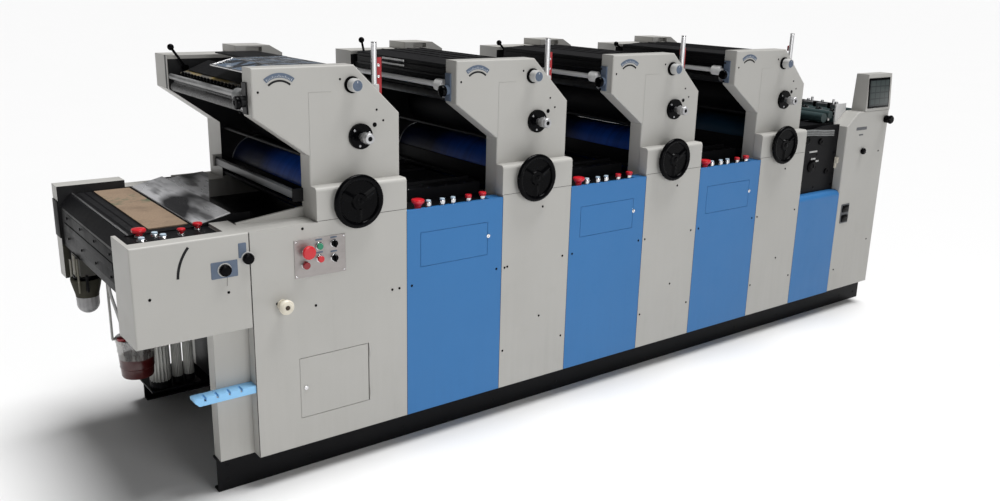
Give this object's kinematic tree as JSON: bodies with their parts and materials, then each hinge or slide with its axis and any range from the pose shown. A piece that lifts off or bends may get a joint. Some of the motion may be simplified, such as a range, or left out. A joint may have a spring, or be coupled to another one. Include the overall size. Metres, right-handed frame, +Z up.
{
  "type": "four unit sheet-fed offset printing press",
  "caption": "Row of printing units on a black base, with handwheels, head levers, a delivery end with button console and a feeder end with a screen pod.",
  "frame": {"origin": "middle of the whole press at the floor", "axes": "+X from the delivery end to the feeder, +Y from the operator's side to the drive side, +Z up"},
  "size_m": [4.295, 1.096, 1.586],
  "materials": {
    "cover_paint": "satin light grey paint",
    "blue_paint": "satin blue paint",
    "black_paint": "black paint",
    "dark_iron": "dark oiled iron",
    "bright_steel": "bright turned steel",
    "navy_blanket": "navy rubber blanket on a steel cylinder",
    "roller_rubber": "dark roller rubber",
    "black_plastic": "gloss black plastic",
    "red_plastic": "gloss red plastic",
    "red_paint": "red anodised look",
    "button_chrome": "chromed bezels",
    "knob_plastic": "light grey plastic with a blue grey cap",
    "cream_plastic": "cream plastic",
    "clear_plastic": "clear plastic",
    "board": "brown board",
    "ink_tray": "steel with ink film",
    "guard_steel": "polished sheet steel",
    "red_water": "translucent plastic with dark red water"
  },
  "bodies": {
    "press": {"base_frame": "black_paint", "near_side_walls": "cover_paint", "gear_cases": "cover_paint", "inner_housing": "dark_iron", "shoulder_covers": "cover_paint", "side_cover_1": "cover_paint", "side_covers": "cover_paint", "blue_panels": "blue_paint", "button_ledges": "black_paint", "plate_cylinders": "dark_iron", "cross_bars": "bright_steel", "ink_rollers": "roller_rubber", "head_brackets": "black_paint", "head_covers": "black_paint", "ink_tray": "ink_tray", "splash_guard": "clear_plastic", "motor_boxes": "cover_paint", "support_posts": "bright_steel", "red_clips": "red_paint", "shaft_flanges": "black_plastic", "control_panel": "bright_steel", "red_buttons": "red_plastic", "push_buttons": "button_chrome", "delivery_near_cover": "cover_paint", "delivery_far_cover": "cover_paint", "delivery_table": "black_paint", "paper_board": "board", "sheet_guards": "guard_steel", "corner_post": "cover_paint", "step_plate": "blue_paint", "air_ducts": "cover_paint", "hanging_brackets": "dark_iron", "filter_bowl": "clear_plastic", "waste_bottle": "red_water", "feeder_body": "black_paint", "feeder_cabinets": "cover_paint", "screen_pod": "cover_paint", "feed_rollers": "roller_rubber", "feed_rails": "bright_steel", "feed_plates": "black_paint"},
    "drive_1": {"handwheel_1": "black_plastic", "blanket_cylinder_1": "navy_blanket"},
    "drive_2": {"handwheel_2": "black_plastic", "blanket_cylinder_2": "navy_blanket"},
    "drive_3": {"handwheel_3": "black_plastic", "blanket_cylinder_3": "navy_blanket"},
    "drive_4": {"handwheel_4": "black_plastic", "blanket_cylinder_4": "navy_blanket"},
    "lever_1": {"ball_lever_1": "black_plastic"},
    "lever_2": {"ball_lever_2": "black_plastic"},
    "lever_3": {"ball_lever_3": "black_plastic"},
    "lever_4": {"ball_lever_4": "black_plastic"},
    "knob_1": {"top_knob_1": "knob_plastic"},
    "knob_2": {"top_knob_2": "knob_plastic"},
    "knob_3": {"top_knob_3": "knob_plastic"},
    "knob_4": {"top_knob_4": "knob_plastic"},
    "door": {"access_door": "cover_paint"},
    "side_knob": {"cream_knob": "cream_plastic"},
    "end_knob": {"feeder_knob": "black_plastic"}
  },
  "joints": [
    {"name": "handwheel_1_turn", "type": "hinge", "parent": "press", "child": "drive_1", "pos_m": [-1.3395, -0.452, 1.038], "axis": [0, 1, 0], "continuous": true},
    {"name": "handwheel_2_turn", "type": "hinge", "parent": "press", "child": "drive_2", "pos_m": [-0.5195, -0.452, 1.038], "axis": [0, 1, 0], "continuous": true},
    {"name": "handwheel_3_turn", "type": "hinge", "parent": "press", "child": "drive_3", "pos_m": [0.3005, -0.452, 1.038], "axis": [0, 1, 0], "continuous": true},
    {"name": "handwheel_4_turn", "type": "hinge", "parent": "press", "child": "drive_4", "pos_m": [1.1205, -0.452, 1.038], "axis": [0, 1, 0], "continuous": true},
    {"name": "ball_lever_1_throw", "type": "hinge", "parent": "press", "child": "lever_1", "pos_m": [-1.6245, 0.366, 1.445], "axis": [0, 1, 0], "range_deg": [-31, 34]},
    {"name": "ball_lever_2_throw", "type": "hinge", "parent": "press", "child": "lever_2", "pos_m": [-0.8045, 0.366, 1.445], "axis": [0, 1, 0], "range_deg": [-52, 13]},
    {"name": "ball_lever_3_throw", "type": "hinge", "parent": "press", "child": "lever_3", "pos_m": [0.0155, 0.366, 1.445], "axis": [0, 1, 0], "range_deg": [-20, 45]},
    {"name": "ball_lever_4_throw", "type": "hinge", "parent": "press", "child": "lever_4", "pos_m": [0.8355, 0.366, 1.445], "axis": [0, 1, 0], "range_deg": [-5, 60]},
    {"name": "top_knob_1_turn", "type": "hinge", "parent": "press", "child": "knob_1", "pos_m": [-1.3185, -0.452, 1.443], "axis": [0, 1, 0], "range_deg": [-150, 150]},
    {"name": "top_knob_2_turn", "type": "hinge", "parent": "press", "child": "knob_2", "pos_m": [-0.4985, -0.452, 1.443], "axis": [0, 1, 0], "range_deg": [-150, 150]},
    {"name": "top_knob_3_turn", "type": "hinge", "parent": "press", "child": "knob_3", "pos_m": [0.3215, -0.452, 1.443], "axis": [0, 1, 0], "range_deg": [-150, 150]},
    {"name": "top_knob_4_turn", "type": "hinge", "parent": "press", "child": "knob_4", "pos_m": [1.1415, -0.452, 1.443], "axis": [0, 1, 0], "range_deg": [-150, 150]},
    {"name": "access_door_swing", "type": "hinge", "parent": "press", "child": "door", "pos_m": [-1.3015, -0.497, 0.36], "axis": [0, 0, 1], "range_deg": [0, 100]},
    {"name": "cream_knob_turn", "type": "hinge", "parent": "press", "child": "side_knob", "pos_m": [-1.6355, -0.512, 0.697], "axis": [0, 1, 0], "range_deg": [-150, 150]},
    {"name": "feeder_knob_turn", "type": "hinge", "parent": "press", "child": "end_knob", "pos_m": [2.0625, -0.512, 1.107], "axis": [0, 1, 0], "range_deg": [-150, 150]}
  ],
  "couplings": [
    {"joint": "handwheel_2_turn", "follows": "handwheel_1_turn", "ratio": 1},
    {"joint": "handwheel_3_turn", "follows": "handwheel_1_turn", "ratio": 1},
    {"joint": "handwheel_4_turn", "follows": "handwheel_1_turn", "ratio": 1}
  ]
}
